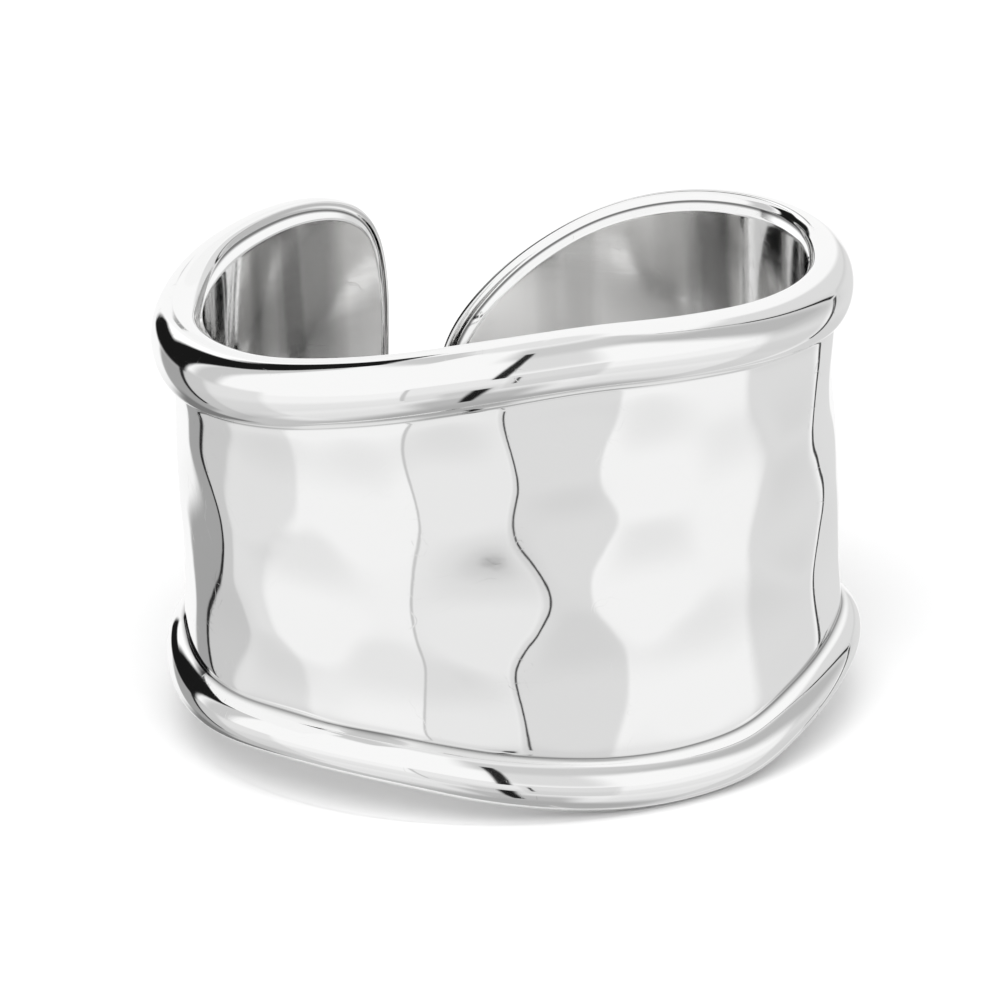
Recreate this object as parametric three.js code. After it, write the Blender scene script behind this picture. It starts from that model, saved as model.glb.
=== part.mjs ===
// An open cuff ring in polished silver: one wide band, hammered outside and smooth inside, with a round rim
// that runs unbroken along both edges and round both ends. It lies on its lower rim, with the finger hole upright.
//
// Millimetres, +Z up. The finger hole's axis is Z, the band's tallest part faces -Y, and the open gap faces +Y.
// Angles go round the ring in degrees: 0 at -Y, 90 at +X, and 180 or -180 at +Y, in the gap.

import * as THREE from 'three';
import { ParametricGeometry } from 'three/addons/geometries/ParametricGeometry.js';
import { mergeVertices } from 'three/addons/utils/BufferGeometryUtils.js';

// Driving dimensions
const INNER_RADIUS = 8.64;    // mean radius of the finger hole, which is 17.3 mm across
const WALL = 0.85;            // mean thickness of the band between its rims
const UNEVEN = 0.11;          // how much thicker the band is on its thick side, and thinner opposite
const THICK_SIDE = -105;      // degrees; where the band is thickest
const RIM_DEPTH = 1.41;       // thickness of the rims, measured outwards from the finger hole
const CREST_RISE = 0.64;      // from the finger hole out to the crest of the rim
const LAND = 0.08;            // width of the flat along the crest, inside it
const SEAM_RISE = 0.32;       // from the finger hole out to the seam between the round rim and its bevel
const SEAM_DROP = 0.26;       // from the crest down to the seam
const BORE_DROP = 0.48;       // from the crest down to the edge of the finger hole
const PINCHES = [-108, 72];   // degrees; the bevel inside the rim is pinched away here
const PINCH_WIDTH = 29;       // degrees over which it widens again
const LEAST_BEVEL = 0.05;     // share of the bevel's width that is left where it is pinched
const DENT_EDGE = 1.5;        // how crisply a dent meets the face round it
const DENT_RIDGE = 4;         // how sharp the ridge is between two dents that meet
const ROUTE_RADIUS = 9.3;     // radius at which lengths round the band are measured
const SPINE_HEIGHT = 6.6;     // height of the line where the band's upper and lower halves meet
const SPINE_START = -158;     // degrees; the spine stops short of the band's rounded ends
const SPINE_END = 159;
const SPINE_EVENNESS = 0.25;  // how far the spine's points are evened out: 0 not at all, 1 fully

// How finely the shape is divided
const COLUMNS = 180;          // round the outline
const FACE_STEPS = 8;         // from the spine to a rim, outside
const CROWN_STEPS = 7;        // over the rim's outer crown
const INNER_STEPS = 2;        // from the rim's crest to the seam
const BORE_STEPS = 3;         // from a rim to the spine, inside
const LENGTH_STEPS = 40;      // between two rows of the outline, when its length is measured

// The band's outline, from the blunt end along the top to the tapered end and back along the bottom.
// angle: degrees round the ring; height: of the rim's crest, mm; rim: the rim's own height across its crest, mm
const OUTLINE = [
  { angle: -172.8, height: 6.7, rim: 1.75 },
  { angle: -173.5, height: 8.4, rim: 1.78 },
  { angle: -173.7, height: 10, rim: 1.8 },
  { angle: -172.3, height: 11.6, rim: 1.85 },
  { angle: -168.8, height: 12.45, rim: 1.9 },
  { angle: -163, height: 12.9, rim: 1.9 },
  { angle: -154, height: 13.11, rim: 1.9 },
  { angle: -135, height: 12.96, rim: 1.95 },
  { angle: -112, height: 12.63, rim: 2.12 },
  { angle: -88, height: 12.62, rim: 2.2 },
  { angle: -65, height: 12.83, rim: 2.05 },
  { angle: -40, height: 13.46, rim: 1.95 },
  { angle: -18, height: 14.07, rim: 1.9 },
  { angle: 0, height: 14.3, rim: 1.88 },
  { angle: 18, height: 14.12, rim: 1.84 },
  { angle: 38, height: 13.82, rim: 1.85 },
  { angle: 62, height: 13.63, rim: 2.08 },
  { angle: 90, height: 13.46, rim: 2.05 },
  { angle: 112, height: 13.26, rim: 1.95 },
  { angle: 130, height: 12.84, rim: 1.88 },
  { angle: 145, height: 12.09, rim: 1.85 },
  { angle: 156, height: 11.14, rim: 1.8 },
  { angle: 166, height: 9.89, rim: 1.8 },
  { angle: 174.8, height: 8.17, rim: 1.75 },
  { angle: 177.8, height: 6.4, rim: 1.7 },
  { angle: 175.2, height: 4.7, rim: 1.7 },
  { angle: 166, height: 3.1, rim: 1.65 },
  { angle: 155, height: 1.6, rim: 1.6 },
  { angle: 142, height: 0.4, rim: 1.6 },
  { angle: 129, height: -0.03, rim: 1.6 },
  { angle: 115, height: 0.15, rim: 1.6 },
  { angle: 95, height: 0.8, rim: 1.65 },
  { angle: 75, height: 1.2, rim: 1.65 },
  { angle: 58, height: 1.18, rim: 1.6 },
  { angle: 43, height: 0.7, rim: 1.62 },
  { angle: 29, height: 0.09, rim: 1.65 },
  { angle: 15, height: -0.03, rim: 1.65 },
  { angle: 1, height: 0.06, rim: 1.65 },
  { angle: -18, height: 0.47, rim: 1.6 },
  { angle: -36, height: 0.95, rim: 1.52 },
  { angle: -55, height: 1.12, rim: 1.45 },
  { angle: -75, height: 0.95, rim: 1.55 },
  { angle: -92, height: 0.86, rim: 1.88 },
  { angle: -108, height: 1.02, rim: 2 },
  { angle: -124, height: 0.95, rim: 1.95 },
  { angle: -137, height: 0.4, rim: 1.8 },
  { angle: -149, height: -0.03, rim: 1.7 },
  { angle: -158, height: 0.15, rim: 1.7 },
  { angle: -166, height: 1.2, rim: 1.7 },
  { angle: -170.5, height: 2.9, rim: 1.7 },
  { angle: -172.2, height: 4.8, rim: 1.72 },
];

// The hammer's marks on the outer face: shallow round dents.
// angle and height: the centre, degrees and mm; radius and depth, mm
const DENTS = [
  { angle: -72, height: 9.6, radius: 1.9, depth: 0.09 },
  { angle: -86, height: 6.9, radius: 2.3, depth: 0.17 },
  { angle: -73, height: 4, radius: 1.9, depth: 0.13 },
  { angle: -61, height: 9.3, radius: 2.1, depth: 0.14 },
  { angle: -54, height: 6.3, radius: 2.3, depth: 0.17 },
  { angle: -60, height: 3, radius: 2.2, depth: 0.14 },
  { angle: -41, height: 9.4, radius: 1.9, depth: 0.09 },
  { angle: -38, height: 3.4, radius: 2, depth: 0.1 },
  { angle: -25, height: 10.4, radius: 1.7, depth: 0.09 },
  { angle: -18, height: 6.4, radius: 2.1, depth: 0.15 },
  { angle: -25, height: 3.4, radius: 1.7, depth: 0.09 },
  { angle: -4, height: 11.7, radius: 2.1, depth: 0.14 },
  { angle: -3, height: 8.7, radius: 1.8, depth: 0.11 },
  { angle: -4, height: 4.2, radius: 2.2, depth: 0.12 },
  { angle: 9, height: 10.3, radius: 2, depth: 0.12 },
  { angle: 9, height: 6.9, radius: 2.2, depth: 0.13 },
  { angle: 18, height: 4, radius: 2.2, depth: 0.11 },
  { angle: 27, height: 9, radius: 2.2, depth: 0.11 },
  { angle: 44, height: 11.4, radius: 2.2, depth: 0.12 },
  { angle: 43, height: 7.1, radius: 2.4, depth: 0.16 },
  { angle: 36, height: 4.2, radius: 2.2, depth: 0.1 },
  { angle: 62, height: 9.3, radius: 2, depth: 0.12 },
  { angle: 61, height: 4.7, radius: 2.2, depth: 0.15 },
  { angle: 73, height: 7.5, radius: 1.8, depth: 0.05 },
  { angle: 82, height: 10.6, radius: 2, depth: 0.1 },
  { angle: 71, height: 9.5, radius: 1.9, depth: 0.2 },
  { angle: 84, height: 4.2, radius: 2.2, depth: 0.12 },
  { angle: 93, height: 7.5, radius: 2.2, depth: 0.13 },
  { angle: 104, height: 10.4, radius: 2.1, depth: 0.11 },
  { angle: 106, height: 4.4, radius: 2.3, depth: 0.12 },
  { angle: 117, height: 7.4, radius: 2.3, depth: 0.12 },
  { angle: 128, height: 4.2, radius: 2.2, depth: 0.11 },
  { angle: 131, height: 9.9, radius: 2, depth: 0.1 },
  { angle: 144, height: 6.8, radius: 2.3, depth: 0.12 },
  { angle: 160, height: 5.6, radius: 2, depth: 0.09 },
  { angle: -98, height: 9.8, radius: 2, depth: 0.1 },
  { angle: -100, height: 5, radius: 2.2, depth: 0.14 },
  { angle: -113, height: 7.1, radius: 2.3, depth: 0.13 },
  { angle: -127, height: 10.2, radius: 2, depth: 0.1 },
  { angle: -128, height: 4.4, radius: 2.2, depth: 0.11 },
  { angle: -142, height: 7.5, radius: 2.3, depth: 0.12 },
  { angle: -156, height: 10.2, radius: 1.9, depth: 0.09 },
  { angle: -156, height: 5, radius: 2, depth: 0.1 },
];

const SILVER = new THREE.MeshStandardMaterial({ color: 0xe9e9ea, roughness: 0.08, metalness: 1.0 });

const MM_PER_DEGREE = THREE.MathUtils.degToRad(ROUTE_RADIUS);

// A closed smooth curve through the outline, in the unrolled band: x along the band, y its height, z the rim's height.
// Its points are evenly spaced on each half of the outline, and both halves have the same number of columns.
function outlineLoop() {
  const knots = OUTLINE.map((row) => new THREE.Vector3(row.angle * MM_PER_DEGREE, row.height, row.rim));
  const curve = new THREE.CatmullRomCurve3(knots, true, 'centripetal');
  const tip = OUTLINE.reduce((far, row, i) => (row.angle > OUTLINE[far].angle ? i : far), 0);
  const lengths = curve.getLengths(OUTLINE.length * LENGTH_STEPS);
  const tipShare = lengths[tip * LENGTH_STEPS] / lengths[lengths.length - 1];
  const half = COLUMNS / 2;
  const share = (column) => (column <= half
    ? (tipShare * column) / half
    : tipShare + ((1 - tipShare) * (column - half)) / half);
  return Array.from({ length: COLUMNS }, (_, column) => curve.getPointAt(share(column)));
}

// Unit vectors that point from the crest of the rim into the band, one for each point of the loop.
function inwardNormals(loop) {
  return loop.map((_, i) => {
    const ahead = loop[(i + 1) % loop.length];
    const behind = loop[(i + loop.length - 1) % loop.length];
    return new THREE.Vector2(ahead.y - behind.y, behind.x - ahead.x).normalize();
  });
}

// The points of the spine, one for each column. Those of a column and of the one below it are the same, so the
// two halves of a face meet there. They lie nearly straight between the two columns, and bunch up at the ends.
function spinePoints(loop) {
  const half = COLUMNS / 2;
  const start = SPINE_START * MM_PER_DEGREE;
  const end = SPINE_END * MM_PER_DEGREE;
  return loop.map((_, i) => {
    const column = Math.min(i, COLUMNS - i);
    const middle = (loop[column].x + loop[(COLUMNS - column) % COLUMNS].x) / 2;
    const beside = (middle - loop[0].x) / (loop[half].x - loop[0].x);
    const along = THREE.MathUtils.lerp(beside, column / half, SPINE_EVENNESS);
    return new THREE.Vector2(THREE.MathUtils.lerp(start, end, along), SPINE_HEIGHT);
  });
}

// Share of its full width that the bevel inside the rim has at an angle in degrees.
function bevelShare(angle) {
  return PINCHES.reduce((share, pinch) => {
    const away = Math.min(Math.abs(angle - pinch) / PINCH_WIDTH, 1);
    return share * THREE.MathUtils.lerp(LEAST_BEVEL, 1, away * away * (3 - 2 * away));
  }, 1);
}

// Stations across the section, from the spine of the outer face, over the rim, to the spine of the finger hole.
// toSpine: 0 at the rim and 1 at the spine; inset: from the crest, as a share of half the rim's height, with
// corner as its fixed part in mm; rise: outwards from the finger hole, mm; hammered: whether the dents reach it
function sectionStations(angle) {
  const bevel = bevelShare(angle);
  const seamRise = SEAM_RISE * bevel;
  const seamDrop = THREE.MathUtils.lerp(BORE_DROP, SEAM_DROP, bevel);
  const crownDepth = RIM_DEPTH - CREST_RISE;
  const crownEnd = Math.PI - Math.asin((WALL - CREST_RISE) / crownDepth);
  const crownWidth = 1 - Math.cos(crownEnd);
  const stations = [];
  for (let i = 0; i < FACE_STEPS; i += 1) {
    stations.push({ toSpine: 1 - i / FACE_STEPS, inset: crownWidth, corner: 0, rise: WALL, hammered: true });
  }
  for (let i = CROWN_STEPS; i >= 0; i -= 1) {
    const turn = (crownEnd * i) / CROWN_STEPS;
    const rise = CREST_RISE + crownDepth * Math.sin(turn);
    stations.push({ toSpine: 0, inset: 1 - Math.cos(turn), corner: 0, rise, hammered: false });
  }
  for (let i = 0; i <= INNER_STEPS; i += 1) {
    const turn = (Math.PI / 2) * (i / INNER_STEPS);
    const corner = seamDrop * (1 - Math.cos(turn));
    const rise = THREE.MathUtils.lerp(CREST_RISE - LAND, seamRise, Math.sin(turn));
    stations.push({ toSpine: 0, inset: 0, corner, rise, hammered: false });
  }
  for (let i = 0; i <= BORE_STEPS; i += 1) {
    stations.push({ toSpine: i / BORE_STEPS, inset: 0, corner: BORE_DROP, rise: 0, hammered: false });
  }
  return stations;
}

// Depth of the hammer's marks at a point of the unrolled outer face. Where two dents meet, the deeper one rules.
function hammerDepth(point) {
  const total = DENTS.reduce((sum, dent) => {
    const away = Math.hypot(point.x - dent.angle * MM_PER_DEGREE, point.y - dent.height) / dent.radius;
    return away < 1 ? sum + (dent.depth * (1 - away * away) ** DENT_EDGE) ** DENT_RIDGE : sum;
  }, 0);
  return total ** (1 / DENT_RIDGE);
}

// How far out a row of the section lies at an angle in radians: the finger hole is a little off the band's centre.
function rowRadius(angle, rise) {
  const thicker = UNEVEN * Math.cos(angle - THREE.MathUtils.degToRad(THICK_SIDE));
  return INNER_RADIUS + rise - thicker * Math.max(0, 1 - rise / WALL);
}

function cuffBandGeometry() {
  const loop = outlineLoop();
  const normals = inwardNormals(loop);
  const spine = spinePoints(loop);
  const sections = loop.map((point) => sectionStations(point.x / MM_PER_DEGREE));
  const rows = sections[0].length;

  const place = (around, across, target) => {
    const column = Math.round(around * COLUMNS) % COLUMNS;
    const station = sections[column][Math.round(across * (rows - 1))];
    const crest = loop[column];
    const inset = (station.inset * crest.z) / 2 + station.corner;
    const flat = new THREE.Vector2(crest.x, crest.y)
      .addScaledVector(normals[column], inset)
      .lerp(spine[column], station.toSpine);
    const angle = flat.x / ROUTE_RADIUS;
    const radius = rowRadius(angle, station.rise) - (station.hammered ? hammerDepth(flat) : 0);
    // The crest is flattened a hair where the ring stands on it.
    target.set(radius * Math.sin(angle), -radius * Math.cos(angle), Math.max(flat.y, 0));
  };

  const geometry = new ParametricGeometry(place, COLUMNS, rows - 1);
  geometry.deleteAttribute('normal');
  geometry.deleteAttribute('uv');
  const closed = mergeVertices(geometry, 1e-4);
  closed.computeVertexNormals();
  return closed;
}

const ring = new THREE.Group();
const cuffBand = new THREE.Mesh(cuffBandGeometry(), SILVER);
cuffBand.name = 'cuff_band';
ring.add(cuffBand);

export default ring;
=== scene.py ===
"""An open cuff ring in polished silver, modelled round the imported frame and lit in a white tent.

The ring is one piece of metal: a wide band, hammered outside and smooth inside, with a round rim that
runs along both edges and round both ends. Lengths are written in millimetres and placed in metres.
Angles round the ring are in degrees: 0 at -Y, 90 at +X, and 180 or -180 at +Y, in the gap. The camera
stands at CAMERA_SIDE.
"""

import logging
import math
from dataclasses import dataclass, field
from enum import Enum
from typing import Any, Mapping, NamedTuple, Sequence, Union

import bmesh
import bpy
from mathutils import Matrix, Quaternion, Vector


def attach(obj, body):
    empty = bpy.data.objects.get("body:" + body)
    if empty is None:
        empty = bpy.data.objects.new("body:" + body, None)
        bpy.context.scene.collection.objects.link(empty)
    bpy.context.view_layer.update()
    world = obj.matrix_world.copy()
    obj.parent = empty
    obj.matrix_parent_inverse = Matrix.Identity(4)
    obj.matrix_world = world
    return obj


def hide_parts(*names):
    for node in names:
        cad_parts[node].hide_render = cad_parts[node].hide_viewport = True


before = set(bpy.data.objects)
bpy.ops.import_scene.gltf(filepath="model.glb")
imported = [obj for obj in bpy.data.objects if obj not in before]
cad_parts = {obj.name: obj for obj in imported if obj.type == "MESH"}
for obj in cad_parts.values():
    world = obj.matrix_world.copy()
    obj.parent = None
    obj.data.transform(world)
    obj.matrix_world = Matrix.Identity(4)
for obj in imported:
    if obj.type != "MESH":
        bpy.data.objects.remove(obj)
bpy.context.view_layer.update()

LOG = logging.getLogger("cuff_ring")
MM = 0.001
CAD_NODE = "cuff_band"
# Vertex attribute: how dark the creases are painted, as dark patina and painted shade.
CREASE = "crease"
BORE = "bore"
CAMERA_SIDE = -15.0


class OutlineRow(NamedTuple):
    """A point of the rim's crest: degrees round the ring, height in mm, and the rim's own height in mm."""

    angle: float
    height: float
    rim: float


class Dent(NamedTuple):
    """A round hammer mark: its centre in degrees and mm, and its radius and depth in mm."""

    angle: float
    height: float
    radius: float
    depth: float


class Station(NamedTuple):
    """A row of points across the band's section.

    to_spine is 0 at the rim and 1 at the spine. inset is the way in from the crest, as a share of half the
    rim's height, with corner as its fixed part in mm. rise is the height above the finger hole, in mm.
    hammered rows are beaten in. crease is how dark the row is painted, as dark patina and painted shade, and
    bore is 1 inside the finger hole.
    """

    to_spine: float
    inset: float
    corner: float
    rise: float
    hammered: bool = False
    crease: float = 0.0
    bore: float = 0.0


class SeamRow(NamedTuple):
    """A row between the bevel's seam and the finger hole: its share of the way, and how dark it is."""

    share: float
    dark: float


OUTLINE_ROWS = (
    OutlineRow(-172.8, 6.7, 1.75),
    OutlineRow(-173.5, 8.4, 1.78),
    OutlineRow(-173.7, 10.0, 1.8),
    OutlineRow(-172.3, 11.6, 1.85),
    OutlineRow(-168.8, 12.45, 1.9),
    OutlineRow(-163.0, 12.9, 1.9),
    OutlineRow(-154.0, 13.11, 1.9),
    OutlineRow(-135.0, 12.96, 1.95),
    OutlineRow(-112.0, 12.63, 2.12),
    OutlineRow(-88.0, 12.62, 2.2),
    OutlineRow(-65.0, 12.83, 2.05),
    OutlineRow(-40.0, 13.46, 1.95),
    OutlineRow(-18.0, 14.07, 1.9),
    OutlineRow(0.0, 14.3, 1.88),
    OutlineRow(18.0, 14.12, 1.84),
    OutlineRow(38.0, 13.82, 1.85),
    OutlineRow(62.0, 13.63, 2.08),
    OutlineRow(90.0, 13.46, 2.05),
    OutlineRow(112.0, 13.26, 1.95),
    OutlineRow(130.0, 12.84, 1.88),
    OutlineRow(145.0, 12.09, 1.85),
    OutlineRow(156.0, 11.14, 1.8),
    OutlineRow(166.0, 9.89, 1.8),
    OutlineRow(174.8, 8.17, 1.75),
    OutlineRow(177.8, 6.4, 1.7),
    OutlineRow(175.2, 4.7, 1.7),
    OutlineRow(166.0, 3.1, 1.65),
    OutlineRow(155.0, 1.6, 1.6),
    OutlineRow(142.0, 0.4, 1.6),
    OutlineRow(129.0, -0.03, 1.6),
    OutlineRow(115.0, 0.15, 1.6),
    OutlineRow(95.0, 0.8, 1.65),
    OutlineRow(75.0, 1.2, 1.65),
    OutlineRow(58.0, 1.18, 1.6),
    OutlineRow(43.0, 0.7, 1.62),
    OutlineRow(29.0, 0.09, 1.65),
    OutlineRow(15.0, -0.03, 1.65),
    OutlineRow(1.0, 0.06, 1.65),
    OutlineRow(-18.0, 0.47, 1.6),
    OutlineRow(-36.0, 0.95, 1.52),
    OutlineRow(-55.0, 1.12, 1.45),
    OutlineRow(-75.0, 0.95, 1.55),
    OutlineRow(-92.0, 0.86, 1.88),
    OutlineRow(-108.0, 1.02, 2.0),
    OutlineRow(-124.0, 0.95, 1.95),
    OutlineRow(-137.0, 0.4, 1.8),
    OutlineRow(-149.0, -0.03, 1.7),
    OutlineRow(-158.0, 0.15, 1.7),
    OutlineRow(-166.0, 1.2, 1.7),
    OutlineRow(-170.5, 2.9, 1.7),
    OutlineRow(-172.2, 4.8, 1.72),
)

HAMMER_MARKS = (
    Dent(-72, 9.6, 1.9, 0.09),
    Dent(-86, 6.9, 2.3, 0.17),
    Dent(-73, 4.0, 1.9, 0.13),
    Dent(-61, 9.3, 2.1, 0.14),
    Dent(-54, 6.3, 2.3, 0.17),
    Dent(-60, 3.0, 2.2, 0.14),
    Dent(-41, 9.4, 1.9, 0.09),
    Dent(-38, 3.4, 2.0, 0.10),
    Dent(-25, 10.4, 1.7, 0.09),
    Dent(-18, 6.4, 2.1, 0.15),
    Dent(-25, 3.4, 1.7, 0.09),
    Dent(-4, 11.7, 2.1, 0.14),
    Dent(-3, 8.7, 1.8, 0.11),
    Dent(-4, 4.2, 2.2, 0.12),
    Dent(9, 10.3, 2.0, 0.12),
    Dent(9, 6.9, 2.2, 0.13),
    Dent(18, 4.0, 2.2, 0.11),
    Dent(27, 9.0, 2.2, 0.11),
    Dent(44, 11.4, 2.2, 0.12),
    Dent(43, 7.1, 2.4, 0.16),
    Dent(36, 4.2, 2.2, 0.10),
    Dent(62, 9.3, 2.0, 0.12),
    Dent(61, 4.7, 2.2, 0.15),
    Dent(73, 7.5, 1.8, 0.05),
    Dent(82, 10.6, 2.0, 0.10),
    Dent(71, 9.5, 1.9, 0.20),
    Dent(84, 4.2, 2.2, 0.12),
    Dent(93, 7.5, 2.2, 0.13),
    Dent(104, 10.4, 2.1, 0.11),
    Dent(106, 4.4, 2.3, 0.12),
    Dent(117, 7.4, 2.3, 0.12),
    Dent(128, 4.2, 2.2, 0.11),
    Dent(131, 9.9, 2.0, 0.10),
    Dent(144, 6.8, 2.3, 0.12),
    Dent(160, 5.6, 2.0, 0.09),
    Dent(-98, 9.8, 2.0, 0.10),
    Dent(-100, 5.0, 2.2, 0.14),
    Dent(-113, 7.1, 2.3, 0.13),
    Dent(-127, 10.2, 2.0, 0.10),
    Dent(-128, 4.4, 2.2, 0.11),
    Dent(-142, 7.5, 2.3, 0.12),
    Dent(-156, 10.2, 1.9, 0.09),
    Dent(-156, 5.0, 2.0, 0.10),
)


def mix(low: float, high: float, share: float) -> float:
    """Return the value at a share of the way from low to high."""
    return low + (high - low) * share


def finished_object(shape: bmesh.types.BMesh, name: str) -> bpy.types.Object:
    """Make an object of a shape and put it in the scene.

    Args:
        shape: the shape, which is freed.
        name: the name of the object and of its mesh.

    Returns:
        The object, at the origin.
    """
    mesh = bpy.data.meshes.new(name)
    shape.to_mesh(mesh)
    shape.free()
    made = bpy.data.objects.new(name, mesh)
    bpy.context.scene.collection.objects.link(made)
    return made


class SmoothLoop:
    """A closed smooth curve through given points, whose points can be asked for by length."""

    def __init__(self, knots: Sequence[Vector], steps: int = 40) -> None:
        """Sample the curve and add up its length.

        Args:
            knots: the points that the curve goes through, in order.
            steps: how many straight pieces stand for each stretch when lengths are measured.
        """
        self.knots = list(knots)
        self.steps = steps
        count = len(self.knots) * steps
        self.samples = [self.at_knots(index / steps) for index in range(count + 1)]
        self.lengths = [0.0]
        for before, after in zip(self.samples, self.samples[1:]):
            self.lengths.append(self.lengths[-1] + (after - before).length)

    def at_knots(self, position: float) -> Vector:
        """Find the curve's point at a position counted in knots.

        Args:
            position: a whole number at each knot.

        Returns:
            The point, on a centripetal Catmull-Rom curve.
        """
        count = len(self.knots)
        index = int(position) % count
        part = position - int(position)
        p0, p1, p2, p3 = (self.knots[(index + step) % count] for step in (-1, 0, 1, 2))
        gap0, gap1, gap2 = (math.sqrt((b - a).length) for a, b in ((p0, p1), (p1, p2), (p2, p3)))
        start = ((p1 - p0) / gap0 - (p2 - p0) / (gap0 + gap1) + (p2 - p1) / gap1) * gap1
        end = ((p2 - p1) / gap1 - (p3 - p1) / (gap1 + gap2) + (p3 - p2) / gap2) * gap1
        cubic = 2 * p1 - 2 * p2 + start + end
        square = -3 * p1 + 3 * p2 - 2 * start - end
        return ((cubic * part + square) * part + start) * part + p1

    def share_of_knot(self, index: int) -> float:
        """Return how far along the curve a knot lies, from 0 to 1."""
        return self.lengths[index * self.steps] / self.lengths[-1]

    def at_share(self, share: float) -> Vector:
        """Find the curve's point at a share of its whole length.

        Args:
            share: from 0 to 1.

        Returns:
            The point.
        """
        wanted = share * self.lengths[-1]
        low, high = 0, len(self.lengths) - 1
        while high - low > 1:
            middle = (low + high) // 2
            if self.lengths[middle] <= wanted:
                low = middle
            else:
                high = middle
        span = self.lengths[high] - self.lengths[low]
        return self.samples[low].lerp(self.samples[high], (wanted - self.lengths[low]) / span)


class Socket:
    """A shader value that takes part in Python sums: each operator adds a Math node.

    Args:
        painter: what adds the nodes.
        link: the output socket that carries the value.
    """

    def __init__(self, painter: "NodePainter", link: bpy.types.NodeSocket) -> None:
        """Keep the socket and what adds nodes to its tree."""
        self.painter = painter
        self.link = link

    def math(self, operation: str, *others: "Value") -> "Socket":
        """Return the result of a Math node on this value and the others."""
        return self.painter.math(operation, self, *others)

    def __add__(self, other: "Value") -> "Socket":
        """Return self + other."""
        return self.math("ADD", other)

    __radd__ = __add__

    def __sub__(self, other: "Value") -> "Socket":
        """Return self - other."""
        return self.math("SUBTRACT", other)

    def __rsub__(self, other: "Value") -> "Socket":
        """Return other - self."""
        return self.painter.math("SUBTRACT", other, self)

    def __mul__(self, other: "Value") -> "Socket":
        """Return self * other."""
        return self.math("MULTIPLY", other)

    __rmul__ = __mul__

    def __truediv__(self, other: "Value") -> "Socket":
        """Return self / other."""
        return self.math("DIVIDE", other)

    def __neg__(self) -> "Socket":
        """Return -self."""
        return self.math("MULTIPLY", -1.0)

    def distance_to(self, other: "Value") -> "Socket":
        """Return how far this value is from the other."""
        return (self - other).math("ABSOLUTE")

    def ramp(self, low: "Value", high: "Value") -> "Socket":
        """Blend smoothly from 0 to 1.

        Args:
            low: where the result is 0.
            high: where it is 1; it may be less than low.

        Returns:
            The result, which stays from 0 to 1.
        """
        names = {"Value": self, "From Min": low, "From Max": high}
        made = self.painter.node("ShaderNodeMapRange", {"interpolation_type": "SMOOTHSTEP"}, names)
        return self.painter.value(made, "Result")

    def within(self, low: float, high: float, soft: float) -> "Socket":
        """Return 1 between low and high and 0 outside, with edges that are soft wide."""
        half = soft / 2
        return self.ramp(low - half, low + half) * self.ramp(high + half, high - half)


# What a shader's sockets take: a link or a number, and some of them a vector or a colour.
Value = Union[Socket, float]
Setting = Union[Socket, float, Sequence[float]]


class MixKind(Enum):
    """What a Mix node mixes: its data type and the numbers of its sockets, because their names repeat.

    The numbers are those of the share of the way, the low end, the high end and the result.
    """

    NUMBER = ("FLOAT", 0, 2, 3, 0)
    COLOUR = ("RGBA", 0, 6, 7, 2)


class NodePainter:
    """Adds nodes to one material's or world's tree.

    Args:
        tree: the node tree, which is emptied first.
    """

    def __init__(self, tree: bpy.types.NodeTree) -> None:
        """Empty the tree and keep it."""
        tree.nodes.clear()
        self.tree = tree

    def node(self, kind: str, settings: Mapping[str, Any],
             inputs: Mapping[Union[str, int], Setting]) -> bpy.types.Node:
        """Add a node.

        Args:
            kind: the node's type.
            settings: its properties, which are set first.
            inputs: values or links for its sockets, by name or number.

        Returns:
            The node.
        """
        made = self.tree.nodes.new(kind)
        for name, setting in settings.items():
            setattr(made, name, setting)
        for name, given in inputs.items():
            if isinstance(given, Socket):
                self.tree.links.new(given.link, made.inputs[name])
            else:
                made.inputs[name].default_value = given
        return made

    def value(self, made: bpy.types.Node, name: Union[str, int] = 0) -> Socket:
        """Return one of a node's outputs."""
        return Socket(self, made.outputs[name])

    def math(self, operation: str, *values: Value) -> Socket:
        """Return the result of a Math node on the values."""
        return self.value(self.node("ShaderNodeMath", {"operation": operation}, dict(enumerate(values))))

    def vector(self, x: Value, y: Value, z: Value) -> Socket:
        """Return a vector made of three values."""
        return self.value(self.node("ShaderNodeCombineXYZ", {}, {"X": x, "Y": y, "Z": z}))

    def parts(self, vector: Socket) -> list[Socket]:
        """Return a vector's three values."""
        made = self.node("ShaderNodeSeparateXYZ", {}, {"Vector": vector})
        return [self.value(made, name) for name in ("X", "Y", "Z")]

    def mix(self, kind: MixKind, share: Value, low: Setting, high: Setting) -> Socket:
        """Mix two numbers or two colours.

        Args:
            kind: which of the two are mixed.
            share: the share of the way from low to high.
            low: the result where the share is 0.
            high: the result where it is 1.

        Returns:
            The result.
        """
        data_type, share_socket, low_socket, high_socket, result = kind.value
        inputs = {share_socket: share, low_socket: low, high_socket: high}
        return self.value(self.node("ShaderNodeMix", {"data_type": data_type}, inputs), result)

    def mixed(self, share: Value, low: Value, high: Value) -> Socket:
        """Return the number at a share of the way from low to high."""
        return self.mix(MixKind.NUMBER, share, low, high)

    def mixed_colour(self, share: Value, low: Setting, high: Setting) -> Socket:
        """Return the colour at a share of the way from low to high."""
        return self.mix(MixKind.COLOUR, share, low, high)

    def noise(self, vector: Socket, scale: float, detail: float = 2.0, roughness: float = 0.5) -> Socket:
        """Return smooth noise, around 0.5, in the space of a vector."""
        settings = {"Vector": vector, "Scale": scale, "Detail": detail, "Roughness": roughness}
        return self.value(self.node("ShaderNodeTexNoise", {}, settings), "Fac")


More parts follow.
